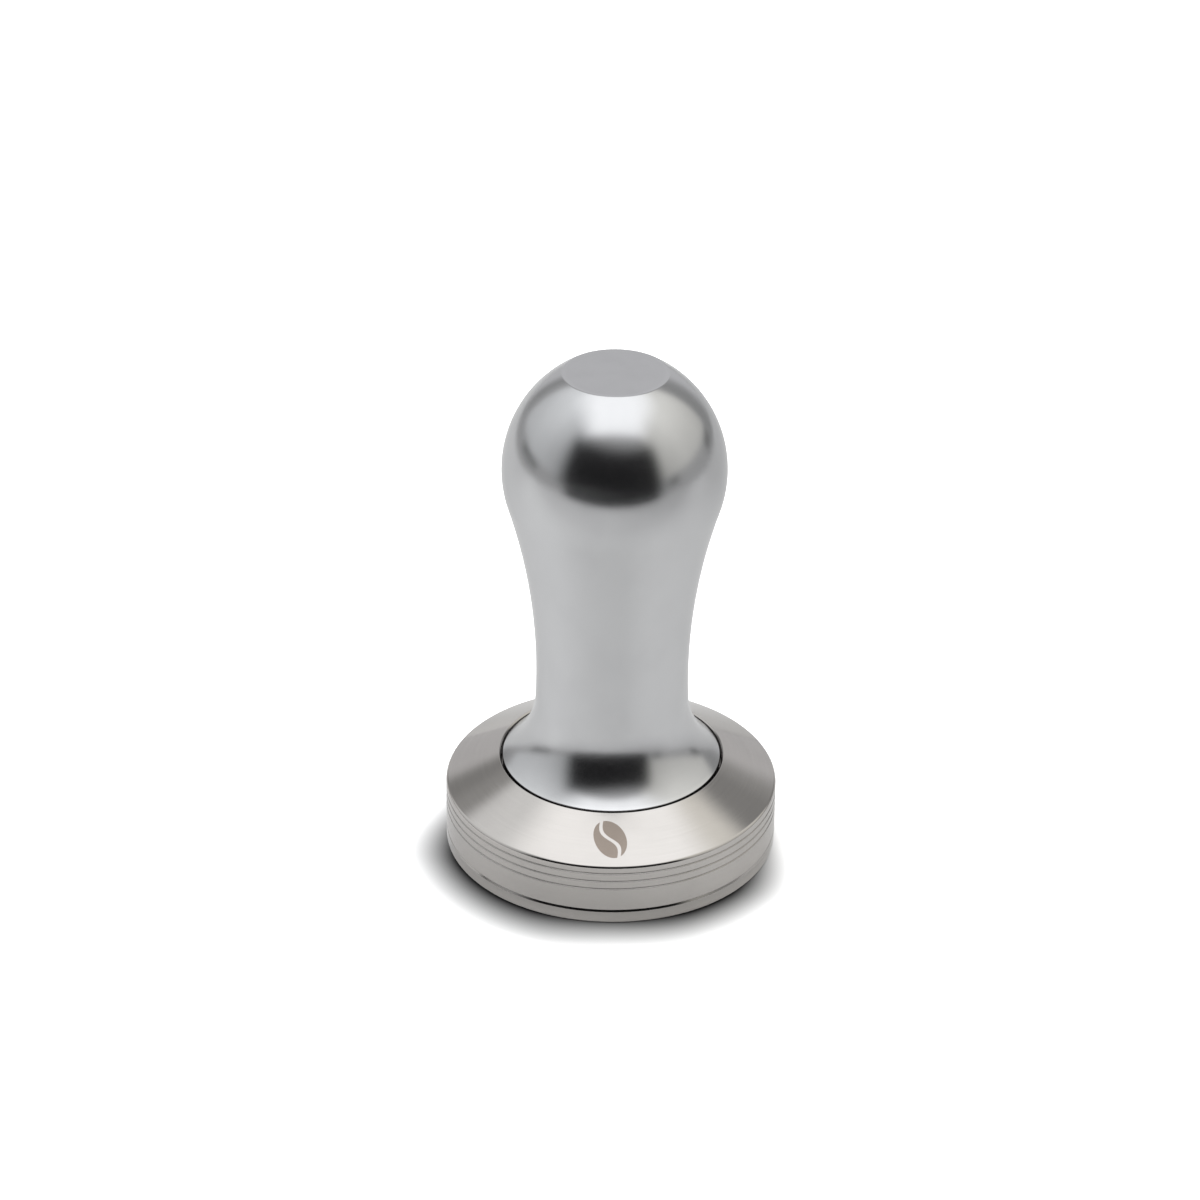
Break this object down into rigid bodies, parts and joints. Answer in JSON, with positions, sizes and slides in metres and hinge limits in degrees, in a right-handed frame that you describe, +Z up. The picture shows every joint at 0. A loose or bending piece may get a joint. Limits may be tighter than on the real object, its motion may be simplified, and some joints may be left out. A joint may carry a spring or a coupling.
{
  "type": "espresso tamper",
  "caption": "Espresso tamper with a flat round steel base, a conical shoulder and a knobbed metal handle that unscrews from the base.",
  "frame": {"origin": "centre of the flat tamping face, which stands on z = 0", "axes": "+Z up the tamper's axis, from the tamping face to the top of the handle; the row is round, and -Y is its front"},
  "size_m": [0.0584, 0.0584, 0.0913],
  "materials": {
    "base_steel": "turned and finely brushed round its axis",
    "handle_aluminium": "satin polished",
    "stud_steel": "zinc plated thread",
    "ring_rubber": "matt black"
  },
  "bodies": {
    "base": {"tamping_base": "base_steel"},
    "ring": {"o_ring": "ring_rubber"},
    "handle": {"handle": "handle_aluminium", "threaded_stud": "stud_steel"}
  },
  "joints": [
    {"name": "handle_lift", "type": "slide", "parent": "base", "child": "ring", "axis": [0, 0, 1], "range_m": [0, 0.00688]},
    {"name": "handle_turn", "type": "hinge", "parent": "ring", "child": "handle", "pos_m": [0, 0, 0.0165], "axis": [0, 0, 1], "range_deg": [0, 1985]}
  ],
  "couplings": [
    {"joint": "handle_turn", "follows": "handle_lift", "rad_per_m": 5026.5}
  ]
}
